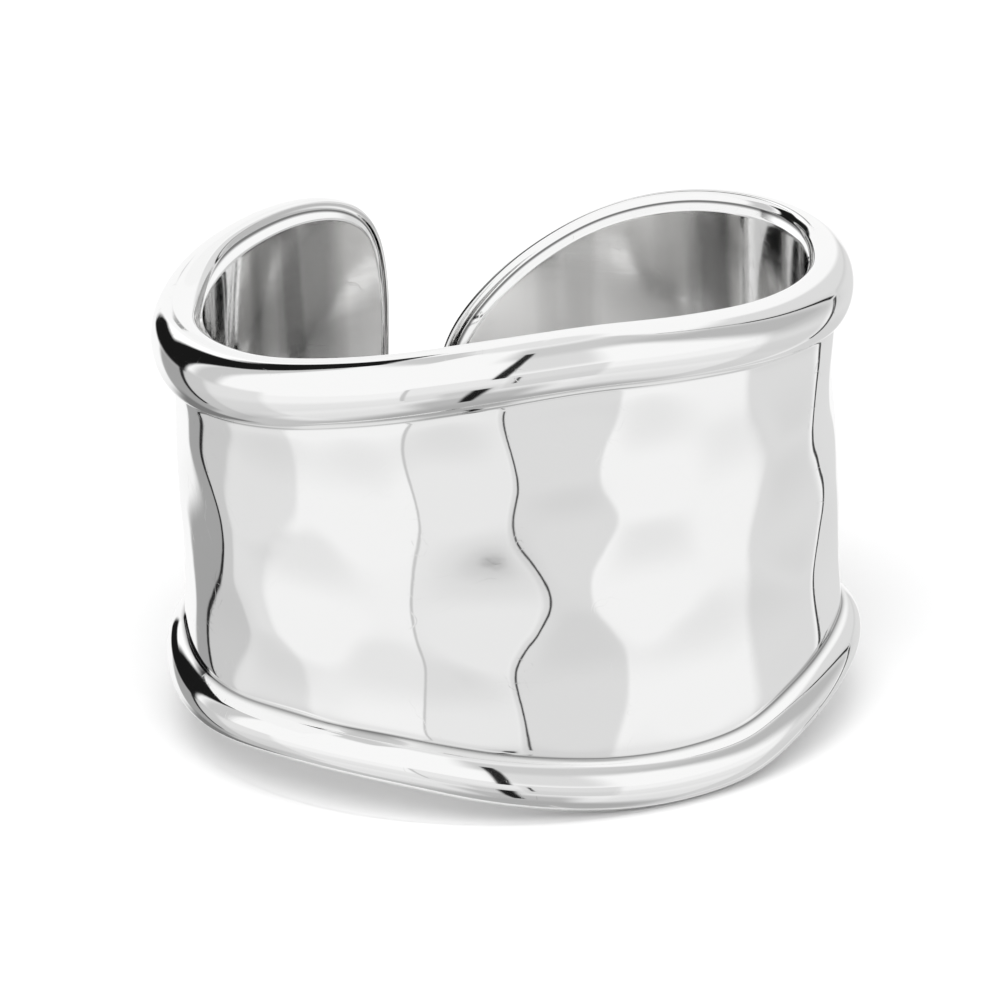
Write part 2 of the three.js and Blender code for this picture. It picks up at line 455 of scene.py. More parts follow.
@dataclass(frozen=True)
class HammerWork:
    """The hammer's marks on the outer face.

    Args:
        marks: the dents.
        mm_per_degree: length of a degree along the unrolled band.
        edge: how crisp the edge of a dent is; 1 is a cap with a sharp edge.
        ridge: how crisp the ridge between two dents is.
    """

    marks: Sequence[Dent]
    mm_per_degree: float
    edge: float = 1.5
    ridge: float = 4.0

    def depth(self, along: float, height: float) -> float:
        """Find how deep the face is beaten in.

        Args:
            along: the way along the unrolled band, in mm.
            height: the height, in mm.

        Returns:
            The depth in mm.
        """
        total = 0.0
        for dent in self.marks:
            away = math.hypot(along - dent.angle * self.mm_per_degree, height - dent.height) / dent.radius
            if away < 1.0:
                total += (dent.depth * (1.0 - away * away) ** self.edge) ** self.ridge
        return total ** (1.0 / self.ridge)


class HoleShadeBand(NamedTuple):
    """A band of painted shade and painted dark reflection up the finger hole.

    It lies between the angles left and right, with edges that are soft degrees wide. depth is how far its
    colour goes towards the colour of the painted shade.
    """

    left: float
    right: float
    soft: float
    depth: float


class Pattern(NamedTuple):
    """Smooth noise laid over the unrolled band.

    around and up are how much the way round and the height count: a small one draws the pattern out along
    it. scale is how fine the noise is, for each mm, and detail and roughness give its finer layers.
    """

    around: float = 1.0
    up: float = 1.0
    scale: float = 1.0
    detail: float = 2.0
    roughness: float = 0.5


class Scratches(NamedTuple):
    """Hairline scratches, which follow the lines where a pattern crosses 0.5, and their width in it."""

    pattern: Pattern
    width: float


# Bands of painted shade up the finger hole: angles round the ring, soft edge and depth.
HOLE_SHADE_BANDS = (
    HoleShadeBand(-162.0, -137.0, 7.0, 0.55),
    HoleShadeBand(-131.0, -126.0, 4.0, 0.2),
    HoleShadeBand(110.5, 123.0, 4.0, 0.75),
    HoleShadeBand(123.0, 130.0, 6.0, 0.25),
    HoleShadeBand(146.0, 157.0, 4.0, 0.25),
)


class UnrolledBand:
    """The place on the unrolled band, which the ring's patterns follow. Lengths are in mm."""

    def __init__(self, paint: NodePainter, wrap_radius: float) -> None:
        """Work out the way round the ring, the height and the distance from its axis.

        Args:
            paint: what adds the nodes.
            wrap_radius: radius at which the patterns are laid round the ring.
        """
        spot = paint.value(paint.node("ShaderNodeTexCoord", {}, {}), "Object")
        x, y, z = paint.parts(spot)
        self.paint = paint
        self.radius = (x * x + y * y).math("SQRT") / MM
        self.around = x.math("ARCTAN2", -y) * wrap_radius
        self.degrees = self.around * math.degrees(1.0 / wrap_radius)
        self.height = z / MM

    def noise(self, pattern: Pattern) -> Socket:
        """Return a pattern's noise, around 0.5."""
        place = self.paint.vector(self.around * pattern.around, self.height * pattern.up, self.radius)
        return self.paint.noise(place, pattern.scale, pattern.detail, pattern.roughness)


@dataclass(frozen=True)
class PolishedSilver:
    """The ring's finish: mirror-polished silver with fine wear, and a finger hole that is rubbed duller.

    Lengths are in mm. A range gives the two values of a pattern or attribute between which its effect
    grows from none to full. A cover is how much of the metal a mark hides where its effect is full. A haze
    is the roughness that a pattern adds, and a relief how high it stands, in bump heights. The finger hole's
    darker bands and streaks are painted shade.

    Args:
        bright: colour of the freshly polished metal.
        dull_tone: colour of the finger hole and of the faint clouds of duller tone.
        hole_shade: colour of the painted shade, in bands and streaks, up the finger hole.
        oxide_and_shade: colour of the creases, as dark patina and painted shade.
        outside: roughness of the mirror polish.
        inside: roughness of the finger hole.
        wrap_radius: radius at which the patterns are laid round the ring.
        hole_range: range of the finger hole's attribute.
        crease_range: range of the creases' attribute.
        crease_cover: cover of the creases' dark patina and painted shade.
        clouds: the faint clouds of duller tone outside.
        cloud_range: range of their colour.
        cloud_cover: their cover.
        cloud_haze_range: range of their haze.
        cloud_haze: their haze.
        waves: the slow waves up the finger hole's wall.
        streak_range: range of the faint streaks of painted shade along the waves.
        streak_cover: cover of the faint streaks.
        wave_relief: relief of the waves.
        bands: the bands of painted shade up the finger hole.
        band_wander: how far the bands' edges wander with the waves, in degrees.
        buffing: the fine lines left round the finger hole by buffing.
        buffing_range: range of their haze.
        buffing_haze: their haze.
        buffing_relief: their relief.
        scratches: the hairline scratches.
        scratched: the pattern of the patches that are scratched.
        scratched_range: its range.
        scratch_haze: haze of the scratches.
        scratch_relief: how deep the scratches are, in bump heights.
        ripples: the faint unevenness of hand polishing.
        ripple_relief: its relief.
        bump_height: a bump height.
    """

    bright: tuple[float, float, float, float] = (0.955, 0.955, 0.953, 1.0)
    dull_tone: tuple[float, float, float, float] = (0.91, 0.908, 0.903, 1.0)
    # Painted shade up the finger hole: the colour that its bands and streaks go towards.
    hole_shade: tuple[float, float, float, float] = (0.42, 0.419, 0.417, 1.0)
    # Colour of the creases: dark patina and painted shade.
    oxide_and_shade: tuple[float, float, float, float] = (0.05, 0.05, 0.05, 1.0)
    outside: float = 0.04
    inside: float = 0.06
    wrap_radius: float = 9.3
    hole_range: tuple[float, float] = (0.55, 0.95)
    crease_range: tuple[float, float] = (0.12, 0.75)
    crease_cover: float = 0.85
    clouds: Pattern = Pattern(scale=0.35, detail=3.0, roughness=0.55)
    cloud_range: tuple[float, float] = (0.45, 0.8)
    cloud_cover: float = 0.12
    cloud_haze_range: tuple[float, float] = (0.4, 0.7)
    cloud_haze: float = 0.015
    waves: Pattern = Pattern(around=0.4, up=0.05, detail=1.5, roughness=0.45)
    streak_range: tuple[float, float] = (0.5, 0.66)
    streak_cover: float = 0.15
    wave_relief: float = 6.0
    bands: tuple[HoleShadeBand, ...] = HOLE_SHADE_BANDS
    band_wander: float = 16.0
    buffing: Pattern = Pattern(around=0.2, up=7.0, detail=4.0, roughness=0.65)
    buffing_range: tuple[float, float] = (0.35, 0.7)
    buffing_haze: float = 0.05
    buffing_relief: float = 0.1
    scratches: tuple[Scratches, ...] = (
        Scratches(Pattern(scale=0.55, detail=1.0, roughness=0.4), 0.0035),
        Scratches(Pattern(scale=1.4, detail=1.0, roughness=0.4), 0.006),
    )
    scratched: Pattern = Pattern(scale=0.9)
    scratched_range: tuple[float, float] = (0.5, 0.62)
    scratch_haze: float = 0.05
    scratch_relief: float = 0.1
    ripples: Pattern = Pattern(scale=1.3)
    ripple_relief: float = 0.3
    bump_height: float = 0.004

    def painted(self, paint: NodePainter, name: str) -> Socket:
        """Read one of the ring's vertex attributes."""
        return paint.value(paint.node("ShaderNodeAttribute", {"attribute_name": name}, {}), "Fac")

    def material(self) -> bpy.types.Material:
        """Make the material.

        Returns:
            A material whose patterns follow the ring round and up.
        """
        made = bpy.data.materials.new("polished_silver")
        made.use_nodes = True
        paint = NodePainter(made.node_tree)
        band = UnrolledBand(paint, self.wrap_radius)
        in_hole = self.painted(paint, BORE).ramp(*self.hole_range)
        in_crease = self.painted(paint, CREASE).ramp(*self.crease_range)
        clouds = band.noise(self.clouds)
        waves = band.noise(self.waves)
        buffing = band.noise(self.buffing)
        hairs = self.hairlines(band)

        clouded = clouds.ramp(*self.cloud_range) * self.cloud_cover
        outer = paint.mixed_colour(clouded, self.bright, self.dull_tone)
        # The finger hole's wall, darkened with painted shade in bands and streaks.
        inner = paint.mixed_colour(self.painted_hole_shade(band, waves), self.dull_tone, self.hole_shade)
        metal = paint.mixed_colour(in_hole, outer, inner)
        # The creases are painted dark: patina, and painted shade.
        colour = paint.mixed_colour(in_crease * self.crease_cover, metal, self.oxide_and_shade)
        hazy = clouds.ramp(*self.cloud_haze_range) * self.cloud_haze
        mirror = self.outside + hazy + hairs * self.scratch_haze
        rubbed = self.inside + buffing.ramp(*self.buffing_range) * self.buffing_haze
        roughness = paint.mixed(in_hole, mirror, rubbed)
        inner_relief = waves * in_hole * self.wave_relief + buffing * in_hole * self.buffing_relief
        relief = inner_relief - hairs * self.scratch_relief + band.noise(self.ripples) * self.ripple_relief
        bumps = {"Strength": 1.0, "Distance": self.bump_height * MM, "Height": relief}
        normal = paint.value(paint.node("ShaderNodeBump", {}, bumps), "Normal")
        shader = {"Base Color": colour, "Metallic": 1.0, "Roughness": roughness, "Normal": normal}
        surface = paint.value(paint.node("ShaderNodeBsdfPrincipled", {}, shader), "BSDF")
        paint.node("ShaderNodeOutputMaterial", {}, {"Surface": surface})
        return made

    def painted_hole_shade(self, band: UnrolledBand, waves: Socket) -> Socket:
        """Paint the bands and the faint streaks of painted shade up the finger hole.

        Args:
            band: the place on the unrolled band.
            waves: the slow waves, which the streaks follow.

        Returns:
            How far the colour goes towards the painted shade's own.
        """
        degrees = band.degrees + (waves - 0.5) * self.band_wander
        dull = waves.ramp(*self.streak_range) * self.streak_cover
        # Each band is painted shade between its angles round the ring.
        for dull_tone in self.bands:
            dull = dull + degrees.within(dull_tone.left, dull_tone.right, dull_tone.soft) * dull_tone.depth
        return dull

    def hairlines(self, band: UnrolledBand) -> Socket:
        """Draw the hairline scratches of wear.

        Args:
            band: the place on the unrolled band.

        Returns:
            1 on a scratch and 0 beside it.
        """
        total: Value = 0.0
        for scratches in self.scratches:
            total = band.noise(scratches.pattern).distance_to(0.5).ramp(scratches.width, 0.0) + total
        return total * band.noise(self.scratched).ramp(*self.scratched_range)


@dataclass(frozen=True)
class PaleBoard:
    """The floor's finish: a matt white board with the faintest mottling.

    Args:
        light: colour of the board.
        shade: colour of the mottling.
        mottling_scale: how fine the mottling is, for each metre.
        mottling_range: the noise up to which the mottling is full, and from which the colour is plain.
        roughness: Principled roughness.
    """

    light: tuple[float, float, float, float] = (0.93, 0.93, 0.93, 1.0)
    shade: tuple[float, float, float, float] = (0.915, 0.915, 0.915, 1.0)
    mottling_scale: float = 60.0
    mottling_range: tuple[float, float] = (0.3, 0.7)
    roughness: float = 0.9

    def material(self) -> bpy.types.Material:
        """Make the material.

        Returns:
            The floor's material.
        """
        made = bpy.data.materials.new("pale_board")
        made.use_nodes = True
        paint = NodePainter(made.node_tree)
        spot = paint.value(paint.node("ShaderNodeTexCoord", {}, {}), "Object")
        mottling = paint.noise(spot, self.mottling_scale, 3.0).ramp(*self.mottling_range)
        colour = paint.mixed_colour(mottling, self.shade, self.light)
        shader = {"Base Color": colour, "Roughness": self.roughness, "Specular IOR Level": 0.0}
        surface = paint.value(paint.node("ShaderNodeBsdfPrincipled", {}, shader), "BSDF")
        paint.node("ShaderNodeOutputMaterial", {}, {"Surface": surface})
        return made


@dataclass
class CuffBand:
    """The ring itself: the band, its rim and its hammered face, as one closed mesh.

    Sizes are in mm and angles in degrees. A rise is a height above the finger hole's wall, and a drop is a
    distance from the rim's crest into the hole.

    Args:
        inner_radius: radius of the finger hole.
        wall: thickness of the band.
        thick_side: angle at which the wall is thickest.
        uneven: how much thicker the wall is there, and thinner across from there.
        rim_depth: rise of the rim's crown.
        crest_rise: rise of the rim's crest.
        land: width of the flat between the crest and the bevel.
        seam_rise: rise of the bevel's inner edge.
        seam_drop: drop of the bevel's inner edge.
        bore_drop: drop at which the finger hole's wall starts.
        pinches: angles at which the bevel is pinched away.
        pinch_width: how far from a pinch the bevel is full again.
        groove: depth of the groove where the rim meets the face.
        route_radius: radius at which the band is unrolled.
        spine_height: height of the line where the upper and lower halves of a face meet.
        spine_start: angle at which that line starts.
        spine_end: angle at which it ends.
        spine_evenness: how evenly its points are spread, from 0 to 1.
        columns: how many points the crest has.
        crown_steps: rows over the rim's crown.
        inner_steps: rows over the bevel.
        face_steps: rows over each half of the face.
        seam_rows: rows from the bevel's inner edge to the finger hole's wall.
        bore_rows: rows of the finger hole's wall, as shares of the way from the rim to the spine.
        fillet: width of the groove's fillet.
        upper_crease: how dark the groove's patina and painted shade are along the upper rim, from 0 to 1.
        lower_crease: how dark it is along the lower rim.
        corner: width of the finger hole's softened edge.
        weld: distance at which two points are one.
        smooth_levels: levels of subdivision.
        outline: the rim's crest.
        marks: the hammer's marks.
        finish: the ring's finish.
    """

    inner_radius: float = 8.64
    wall: float = 0.85
    thick_side: float = -105.0
    uneven: float = 0.11
    rim_depth: float = 1.41
    crest_rise: float = 0.64
    land: float = 0.08
    seam_rise: float = 0.32
    seam_drop: float = 0.26
    bore_drop: float = 0.48
    pinches: tuple[float, ...] = (-108.0, 72.0)
    pinch_width: float = 29.0
    groove: float = 0.05
    route_radius: float = 9.3
    spine_height: float = 6.6
    spine_start: float = -158.0
    spine_end: float = 159.0
    spine_evenness: float = 0.25
    columns: int = 182
    crown_steps: int = 9
    inner_steps: int = 4
    face_steps: int = 9
    # The first two seam rows are painted dark, as patina and painted shade, just inside the bevel's edge.
    seam_rows: tuple[SeamRow, ...] = (
        SeamRow(0.12, 1.0), SeamRow(0.25, 0.5), SeamRow(0.5, 0.0), SeamRow(0.8, 0.0), SeamRow(0.97, 0.0),
    )
    bore_rows: tuple[float, ...] = (0.0, 0.03, 0.25, 0.6, 1.0)
    fillet: float = 0.05
    upper_crease: float = 0.3
    lower_crease: float = 0.6
    corner: float = 0.03
    weld: float = 0.002
    smooth_levels: int = 2
    outline: Sequence[OutlineRow] = OUTLINE_ROWS
    marks: Sequence[Dent] = HAMMER_MARKS
    finish: PolishedSilver = PolishedSilver()
    hammer: HammerWork = field(init=False)
    mm_per_degree: float = field(init=False)
    crease_layer: bmesh.types.BMLayerItem = field(init=False)
    bore_layer: bmesh.types.BMLayerItem = field(init=False)

    def __post_init__(self) -> None:
        """Work out the scale of the unrolled band."""
        self.mm_per_degree = math.radians(self.route_radius)
        self.hammer = HammerWork(self.marks, self.mm_per_degree)

    def crest_loop(self) -> list[Vector]:
        """Lay out the rim's crest in the unrolled band.

        Returns:
            A point for each column: x along the band, y its height and z the rim's own height.
        """
        knots = [Vector((row.angle * self.mm_per_degree, row.height, row.rim)) for row in self.outline]
        curve = SmoothLoop(knots)
        tip = max(range(len(self.outline)), key=lambda index: self.outline[index].angle)
        tip_share = curve.share_of_knot(tip)
        half = self.columns // 2
        upper = [curve.at_share(mix(0.0, tip_share, index / half)) for index in range(half)]
        lower = [curve.at_share(mix(tip_share, 1.0, index / half)) for index in range(half)]
        return upper + lower

    def inward(self, loop: Sequence[Vector]) -> list[Vector]:
        """Find which way the band lies from each point of its crest.

        Args:
            loop: the crest's points.

        Returns:
            Unit vectors in the unrolled band.
        """
        count = len(loop)
        result = []
        for index in range(count):
            run = loop[(index + 1) % count] - loop[index - 1]
            result.append(Vector((run.y, -run.x)).normalized())
        return result

    def spine(self, loop: Sequence[Vector]) -> list[Vector]:
        """Lay out the line where the upper and lower halves of a face meet.

        Args:
            loop: the crest's points.

        Returns:
            A point for each column; a column and the one below it share theirs.
        """
        half = self.columns // 2
        start, end = self.spine_start * self.mm_per_degree, self.spine_end * self.mm_per_degree
        result = []
        for index in range(self.columns):
            column = min(index, self.columns - index)
            middle = (loop[column].x + loop[-column].x) / 2
            beside = (middle - loop[0].x) / (loop[half].x - loop[0].x)
            along = mix(beside, column / half, self.spine_evenness)
            result.append(Vector((mix(start, end, along), self.spine_height)))
        return result

    def bevel_share(self, angle: float) -> float:
        """Find how much of its full width the bevel inside the rim has.

        Args:
            angle: the angle round the ring, in degrees.

        Returns:
            The share, 0 where the bevel is pinched away and 1 where it is full.
        """
        share = 1.0
        for pinch in self.pinches:
            away = min(abs(angle - pinch) / self.pinch_width, 1.0)
            share *= away * away * (3.0 - 2.0 * away)
        return share

    def section(self, angle: float) -> list[Station]:
        """List the rows across the section, from the outer spine over the rim to the finger hole's spine.

        Args:
            angle: the angle round the ring, in degrees.

        Returns:
            The rows.
        """
        bevel = self.bevel_share(angle)
        seam_rise = mix(self.corner, self.seam_rise, bevel)
        seam_drop = mix(self.bore_drop - self.corner, self.seam_drop, bevel)
        crown_depth = self.rim_depth - self.crest_rise
        crown_end = math.pi - math.asin((self.wall - self.crest_rise) / crown_depth)
        foot = 1.0 - math.cos(crown_end)
        rows = [Station(1.0 - step / self.face_steps, foot, self.fillet, self.wall, hammered=True)
                for step in range(self.face_steps + 1)]
        # The groove's row is painted dark, as patina and painted shade.
        rows.append(Station(0.0, foot, 0.0, self.wall - self.groove, hammered=True, crease=1.0))
        for step in range(self.crown_steps - 1, -1, -1):
            turn = crown_end * step / self.crown_steps
            rise = self.crest_rise + crown_depth * math.sin(turn)
            rows.append(Station(0.0, 1.0 - math.cos(turn), 0.0, rise))
        land_end = self.crest_rise - self.land
        for step in range(self.inner_steps + 1):
            turn = math.pi / 2 * step / self.inner_steps
            drop = seam_drop * (1.0 - math.cos(turn))
            rows.append(Station(0.0, 0.0, drop, mix(land_end, seam_rise, math.sin(turn))))
        for row in self.seam_rows:
            drop = mix(seam_drop, self.bore_drop, row.share)
            # Rows just inside the bevel's seam are painted dark, as patina and painted shade.
            rows.append(Station(0.0, 0.0, drop, mix(seam_rise, 0.0, row.share), crease=row.dark * bevel))
        for to_spine in self.bore_rows:
            rows.append(Station(to_spine, 0.0, self.bore_drop + self.corner, 0.0, bore=1.0))
        return rows

    def radius_at(self, angle: float, rise: float) -> float:
        """Find how far a row of the section lies from the ring's axis, with one side thicker than the other.

        Args:
            angle: the angle round the ring, in radians.
            rise: the row's height above the finger hole.

        Returns:
            The distance, in mm.
        """
        thicker = self.uneven * math.cos(angle - math.radians(self.thick_side))
        return self.inner_radius + rise - thicker * max(0.0, 1.0 - rise / self.wall)

    def shape_row(self, verts: Sequence[bmesh.types.BMVert], stations: Sequence[Station],
                  crest: Sequence[Vector], inward: Sequence[Vector], spine: Sequence[Vector]) -> None:
        """Move a ring of vertices onto one row of the section.

        Args:
            verts: the vertices, in the loop's order.
            stations: the row's place in the section at each vertex.
            crest: the rim's crest.
            inward: the directions into the band.
            spine: the spine's points.
        """
        for vert, station, top, into, middle in zip(verts, stations, crest, inward, spine):
            inset = station.inset * top.z / 2 + station.corner
            flat = (top.xy + into * inset).lerp(middle, station.to_spine)
            angle = flat.x / self.route_radius
            radius = self.radius_at(angle, station.rise)
            if station.hammered:
                radius -= self.hammer.depth(flat.x, flat.y)
            height = max(flat.y, 0.0)
            vert.co = Vector((radius * math.sin(angle), -radius * math.cos(angle), height)) * MM
            # The groove's patina and painted shade are darker along the lower rim than along the upper.
            strength = self.upper_crease if flat.y > self.spine_height else self.lower_crease
            vert[self.crease_layer] = station.crease * (strength if station.hammered else 1.0)
            vert[self.bore_layer] = station.bore

    def build(self) -> bpy.types.Object:
        """Model the ring and dress it.

        Returns:
            The ring's object, at the origin.
        """
        crest = self.crest_loop()
        inward = self.inward(crest)
        spine = self.spine(crest)
        sections = [self.section(point.x / self.mm_per_degree) for point in crest]

        bm = bmesh.new()
        bm.verts.layers.float.new(CREASE)
        bm.verts.layers.float.new(BORE)
        self.crease_layer = bm.verts.layers.float[CREASE]
        self.bore_layer = bm.verts.layers.float[BORE]
        row = bmesh.ops.create_circle(bm, segments=self.columns, radius=self.inner_radius * MM)["verts"]
        self.shape_row(row, [section[0] for section in sections], crest, inward, spine)
        edges = list(bm.edges)
        for number in range(1, len(sections[0])):
            made = bmesh.ops.extrude_edge_only(bm, edges=edges)["geom"]
            fresh = {item for item in made if isinstance(item, bmesh.types.BMVert)}
            edges = [item for item in made if isinstance(item, bmesh.types.BMEdge)
                     and item.verts[0] in fresh and item.verts[1] in fresh]
            row = [next(edge.other_vert(vert) for edge in vert.link_edges if edge.other_vert(vert) in fresh)
                   for vert in row]
            self.shape_row(row, [section[number] for section in sections], crest, inward, spine)
        bmesh.ops.remove_doubles(bm, verts=bm.verts, dist=self.weld * MM)
        bmesh.ops.recalc_face_normals(bm, faces=bm.faces)
        for face in bm.faces:
            face.smooth = True
        ring = finished_object(bm, "ring_band")
        ring.data.materials.append(self.finish.material())
        smoothing = ring.modifiers.new("smoothing", "SUBSURF")
        smoothing.levels = self.smooth_levels
        smoothing.render_levels = self.smooth_levels
        return ring


class FloorPart(Enum):
    """The floor's two boards: the wide one, and the small one under the ring that the metal mirrors."""

    WIDE = "floor_wide"
    UNDER_RING = "floor_under_ring"


@dataclass
class Floor:
    """A plain pale floor. Sizes are in mm.

    The tent's cloth hangs down in front of the wide board in the ring's mirrored picture, so only the
    small board under the ring shows in its metal.

    Args:
        wide_radius: radius of the wide board.
        under_radius: radius of the small board.
        drop: how far the small board lies below the ring, and the wide board below the small one.
        segments: sides of a board.
        finish: the boards' finish.
    """

    wide_radius: float = 1500.0
    under_radius: float = 9.6
    drop: float = 0.01
    segments: int = 96
    finish: PaleBoard = PaleBoard()

    def board(self, part: FloorPart, radius: float, height: float) -> bpy.types.Object:
        """Model one board.

        Args:
            part: which board.
            radius: its radius.
            height: its height.

        Returns:
            The board's object.
        """
        bm = bmesh.new()
        bmesh.ops.create_circle(bm, cap_ends=True, segments=self.segments, radius=radius * MM)
        bmesh.ops.translate(bm, verts=bm.verts, vec=(0.0, 0.0, height * MM))
        return finished_object(bm, part.value)

    def build(self) -> list[bpy.types.Object]:
        """Return both boards, laid and painted."""
        white = self.finish.material()
        wide = self.board(FloorPart.WIDE, self.wide_radius, -2 * self.drop)
        under = self.board(FloorPart.UNDER_RING, self.under_radius, -self.drop)
        wide.visible_glossy = False
        for made in (wide, under):
            made.data.materials.append(white)
        return [wide, under]


@dataclass(frozen=True)
class Panel:
    """A piece of the tent, or a gap in it, as seen from the ring.

    Angles are in degrees. Those round the tent are measured from where the camera stands, to its right.

    Args:
        name: what it is.
        left: angle of its left edge.
        right: angle of its right edge.
        low: elevation of its lower edge.
        high: elevation of its upper edge.
        light: how bright it is.
        soft: width of its soft edges.
        lean: how far it moves to the right for each degree up.
        cover: how much of what is behind it it hides, from 0 to 1.
    """

    name: str
    left: float
    right: float
    low: float
    high: float
    light: float
    soft: float = 2.0
    lean: float = 0.0
    cover: float = 1.0


TENT = (
    Panel("right front cloth", 0.0, 34.0, -38.0, -6.0, 0.74, 4.0),
    Panel("right side cloth", 34.0, 94.0, -90.0, -8.0, 0.93, 6.0),
    Panel("right back cloth", 94.0, 131.0, -90.0, -4.0, 0.74, 8.0),
    Panel("right far cloth", 137.0, 166.0, -90.0, 0.0, 0.74, 4.0),
    Panel("left front cloth", -33.0, 0.0, -38.0, -4.0, 0.84, 3.0),
    Panel("left side cloth", -86.0, -33.0, -90.0, -8.0, 0.93, 4.0),
    Panel("left back cloth", -112.0, -86.0, -50.0, -4.0, 0.78, 5.0),
    Panel("left far cloth", -143.0, -112.0, -50.0, -4.0, 0.6, 6.0),
    Panel("seam in the left cloth", -33.8, -32.2, -33.0, -6.0, 0.58, 1.0),
    Panel("cloths darker towards the table", -180.0, 180.0, -40.0, -23.0, 0.5, 9.0, 0.0, 0.26),
    Panel("shade in front", -1.0, 30.0, -2.0, 50.0, 0.74, 12.0),
    Panel("shade in front, high", -8.0, 80.0, 37.0, 70.0, 0.62, 16.0),
    Panel("shade on the right", 88.0, 130.0, -10.0, 46.0, 0.5, 22.0, -0.92),
    Panel("shade on the left", -119.0, -106.0, -6.0, 52.0, 0.6, 6.0),
    Panel("shade on the left, high", -130.0, -62.0, 58.0, 76.0, 0.62, 8.0),
    Panel("shade under the camera", -32.0, 18.0, -95.0, -44.0, 0.5, 16.0),
    Panel("light falling off below", -180.0, 180.0, -95.0, -42.0, 0.5, 30.0, 0.0, 0.35),
    Panel("table, darker on the left", -180.0, -100.0, -78.0, -44.0, 0.4, 20.0, 0.0, 0.6),
    Panel("table edge", -180.0, 180.0, -95.0, -68.0, 0.42, 18.0),
    Panel("top cloth", -180.0, 180.0, 74.0, 95.0, 0.8, 10.0),
    Panel("shade round the slit", -20.0, -2.0, -44.0, -29.0, 0.5, 6.0, 0.0, 0.55),
    Panel("slit, seen by the face", 3.4, 4.6, -27.0, -12.0, 0.02, 0.9),
    Panel("slit", -4.6, 0.0, -9.0, 52.0, 0.02, 1.5, 0.075),
    Panel("slit below", -6.0, 0.2, -64.0, -31.0, 0.012, 2.5, 0.1),
    Panel("left gap", -157.0, -123.5, -8.0, 58.0, 0.01, 3.0, 0.18),
    Panel("lamp in the left gap", -156.0, -142.5, 12.0, 33.0, 1.1, 5.0),
    Panel("left gap, fading", -147.0, -127.0, -40.0, -8.0, 0.37, 5.0),
    Panel("left gap, below", -166.0, -140.0, -50.0, -28.0, 0.2, 7.0),
    Panel("edge of the left gap", -129.0, -126.0, -34.0, -6.0, 0.02, 1.5),
    Panel("join at the back", -168.5, -163.5, 18.0, 30.0, 0.35, 2.0),
    Panel("cloth beyond the right gap", 130.0, 168.0, -3.0, 45.0, 0.5, 10.0, -0.92, 0.5),
    Panel("right gap", 129.5, 133.0, -3.0, 32.0, 0.02, 2.0, -0.92),
    Panel("right gap, high", 130.3, 132.5, 31.0, 53.0, 0.2, 2.0, -0.92),
    Panel("right gap, seen by the face", 134.0, 137.0, -34.0, -5.0, 0.05, 1.5),
)


@dataclass
class LightTent:
    """The studio's soft light: a white tent round the ring, with a slit for the camera and two gaps.

    Args:
        facing: where its front is, in degrees round the ring.
        cloth: how bright its plain cloth is.
        power: strength of the whole tent.
        panels: its pieces and gaps, each laid over those before it.
    """

    facing: float = CAMERA_SIDE
    cloth: float = 0.98
    power: float = 1.0
    panels: Sequence[Panel] = TENT

    def build(self) -> bpy.types.World:
        """Hang the tent.

        Returns:
            The scene's world.
        """
        world = bpy.data.worlds.new("light_tent")
        world.use_nodes = True
        paint = NodePainter(world.node_tree)
        way = paint.value(paint.node("ShaderNodeTexCoord", {}, {}), "Generated")
        x, y, z = paint.parts(way)
        turn = math.radians(self.facing)
        ahead = x * math.sin(turn) - y * math.cos(turn)
        beside = x * math.cos(turn) + y * math.sin(turn)
        round_tent = beside.math("ARCTAN2", ahead).math("DEGREES")
        up = z.math("ARCSINE").math("DEGREES")
        light: Value = self.cloth
        for panel in self.panels:
            place = round_tent - up * panel.lean
            beside_it = place.within(panel.left, panel.right, panel.soft)
            level_with_it = up.within(panel.low, panel.high, panel.soft)
            covered = paint.mixed(beside_it * level_with_it * panel.cover, light, panel.light)
            covered.link.node.label = panel.name
            light = covered
        colour = paint.vector(light, light, light)
        glow = paint.node("ShaderNodeBackground", {}, {"Color": colour, "Strength": self.power})
        paint.node("ShaderNodeOutputWorld", {}, {"Surface": paint.value(glow)})
        bpy.context.scene.world = world
        return world


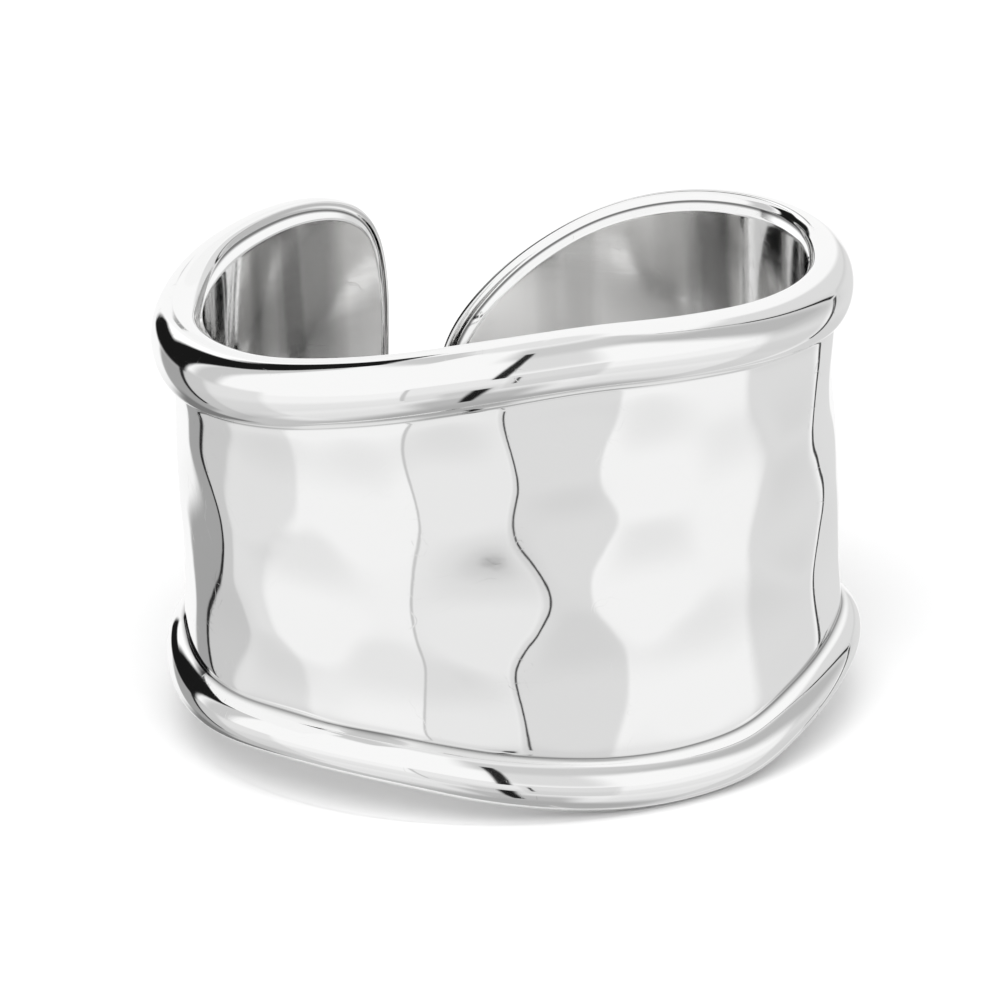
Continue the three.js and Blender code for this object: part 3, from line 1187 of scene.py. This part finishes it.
@dataclass(frozen=True)
class Reflector:
    """A white card that only the ring's metal sees, and only from the side that faces the ring.

    Args:
        name: its object's name.
        middle: its middle, in mm.
        size: its size along X, Y and Z, in mm; one of them is 0.
        light: how bright it is.
        facing: the point it faces, in mm.
    """

    name: str
    middle: tuple[float, float, float]
    size: tuple[float, float, float]
    light: float = 0.95
    facing: tuple[float, float, float] = (0.0, 0.0, 7.0)

    def material(self) -> bpy.types.Material:
        """Make its evenly glowing white, which is clear from behind.

        Returns:
            The material.
        """
        made = bpy.data.materials.new(self.name)
        made.use_nodes = True
        paint = NodePainter(made.node_tree)
        glow = paint.value(paint.node("ShaderNodeEmission", {}, {"Strength": self.light}), "Emission")
        clear = paint.value(paint.node("ShaderNodeBsdfTransparent", {}, {}), "BSDF")
        behind = paint.value(paint.node("ShaderNodeNewGeometry", {}, {}), "Backfacing")
        mixed = paint.node("ShaderNodeMixShader", {}, {0: behind, 1: glow, 2: clear})
        paint.node("ShaderNodeOutputMaterial", {}, {"Surface": paint.value(mixed, "Shader")})
        return made

    def build(self) -> bpy.types.Object:
        """Hang the card.

        Returns:
            The card, which shows in the ring's metal and nowhere else.
        """
        across = [axis for axis in range(3) if self.size[axis] > 0]
        corners = []
        for first, second in ((-0.5, -0.5), (0.5, -0.5), (0.5, 0.5), (-0.5, 0.5)):
            corner = Vector(self.middle)
            corner[across[0]] += self.size[across[0]] * first
            corner[across[1]] += self.size[across[1]] * second
            corners.append(corner * MM)
        bm = bmesh.new()
        made = [bmesh.ops.create_vert(bm, co=corner)["vert"][0] for corner in corners]
        faces = bmesh.ops.contextual_create(bm, geom=made)["faces"]
        faces[0].normal_update()
        if faces[0].normal.dot(Vector(self.facing) - Vector(self.middle)) < 0:
            bmesh.ops.reverse_faces(bm, faces=faces)
        card = finished_object(bm, self.name)
        card.data.materials.append(self.material())
        card.visible_camera = False
        card.visible_diffuse = False
        card.visible_shadow = False
        return card


CARDS = (
    Reflector("card_behind", (-3.4, 14.5, 23.2), (13.2, 0.0, 9.8)),
    Reflector("card_on_the_left", (-16.0, 3.0, 11.4), (10.5, 15.0, 0.0)),
)


@dataclass(frozen=True)
class KeyLamp:
    """A broad lamp high up behind the camera, which keeps the ring's shadow on the floor short.

    Args:
        strength: sun strength.
        spread: how wide the lamp looks from the ring, degrees.
        tilt: how far it leans from straight overhead, degrees.
        azimuth: where it stands, degrees round the ring.
        height: where its marker is put, mm.
    """

    strength: float = 1.9
    spread: float = 54.0
    tilt: float = 34.0
    azimuth: float = CAMERA_SIDE
    height: float = 200.0

    def build(self) -> bpy.types.Object:
        """Hang the lamp, out of the ring's mirrored picture.

        Returns:
            The lamp.
        """
        light = bpy.data.lights.new("key_lamp", "SUN")
        light.energy = self.strength
        light.angle = math.radians(self.spread)
        lamp = bpy.data.objects.new("key_lamp", light)
        lamp.location = (0.0, 0.0, self.height * MM)
        lamp.rotation_euler = (math.radians(self.tilt), 0.0, math.radians(self.azimuth))
        lamp.visible_glossy = False
        bpy.context.scene.collection.objects.link(lamp)
        return lamp


@dataclass(frozen=True)
class StudioCamera:
    """The camera, by where it stands. Angles are in degrees, and lengths in mm.

    Args:
        azimuth: where it stands, in degrees round the ring.
        elevation: how high it stands above the floor.
        roll: how far it is turned about its own axis.
        distance: how far it is from what it looks at.
        lens: its focal length.
        nearest: distance at which it starts to see.
        aim: the point it looks at.
    """

    azimuth: float = CAMERA_SIDE
    elevation: float = 20.0
    roll: float = -2.1
    distance: float = 220.0
    lens: float = 276.0
    nearest: float = 10.0
    aim: tuple[float, float, float] = (-0.30, -0.12, 6.18)

    def place(self) -> bpy.types.Object:
        """Make the scene's camera.

        Returns:
            The camera's object.
        """
        around, up = math.radians(self.azimuth), math.radians(self.elevation)
        back = Vector((math.sin(around) * math.cos(up), -math.cos(around) * math.cos(up), math.sin(up)))
        data = bpy.data.cameras.new("camera")
        data.lens = self.lens
        data.clip_start = self.nearest * MM
        camera = bpy.data.objects.new("camera", data)
        bpy.context.scene.collection.objects.link(camera)
        camera.location = (Vector(self.aim) + back * self.distance) * MM
        camera.rotation_mode = "QUATERNION"
        turn = Quaternion((0.0, 0.0, 1.0), math.radians(self.roll))
        camera.rotation_quaternion = (-back).to_track_quat("-Z", "Y") @ turn
        bpy.context.scene.camera = camera
        return camera


def main() -> None:
    """Build the ring, its floor, its light and the camera."""
    logging.basicConfig(level=logging.INFO, format="%(name)s: %(message)s")
    bpy.context.scene.view_settings.view_transform = "Standard"
    for made in (StudioCamera().place(), LightTent().build(), KeyLamp().build()):
        LOG.info("%s: in place", made.name)
    for board in Floor().build():
        LOG.info("%s: laid", board.name)
    for card in CARDS:
        card.build()
        LOG.info("%s: hung", card.name)
    ring = CuffBand().build()
    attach(ring, "root")
    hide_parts(CAD_NODE)
    LOG.info("%s: %d faces before smoothing", ring.name, len(ring.data.polygons))


if __name__ == "__main__":
    main()
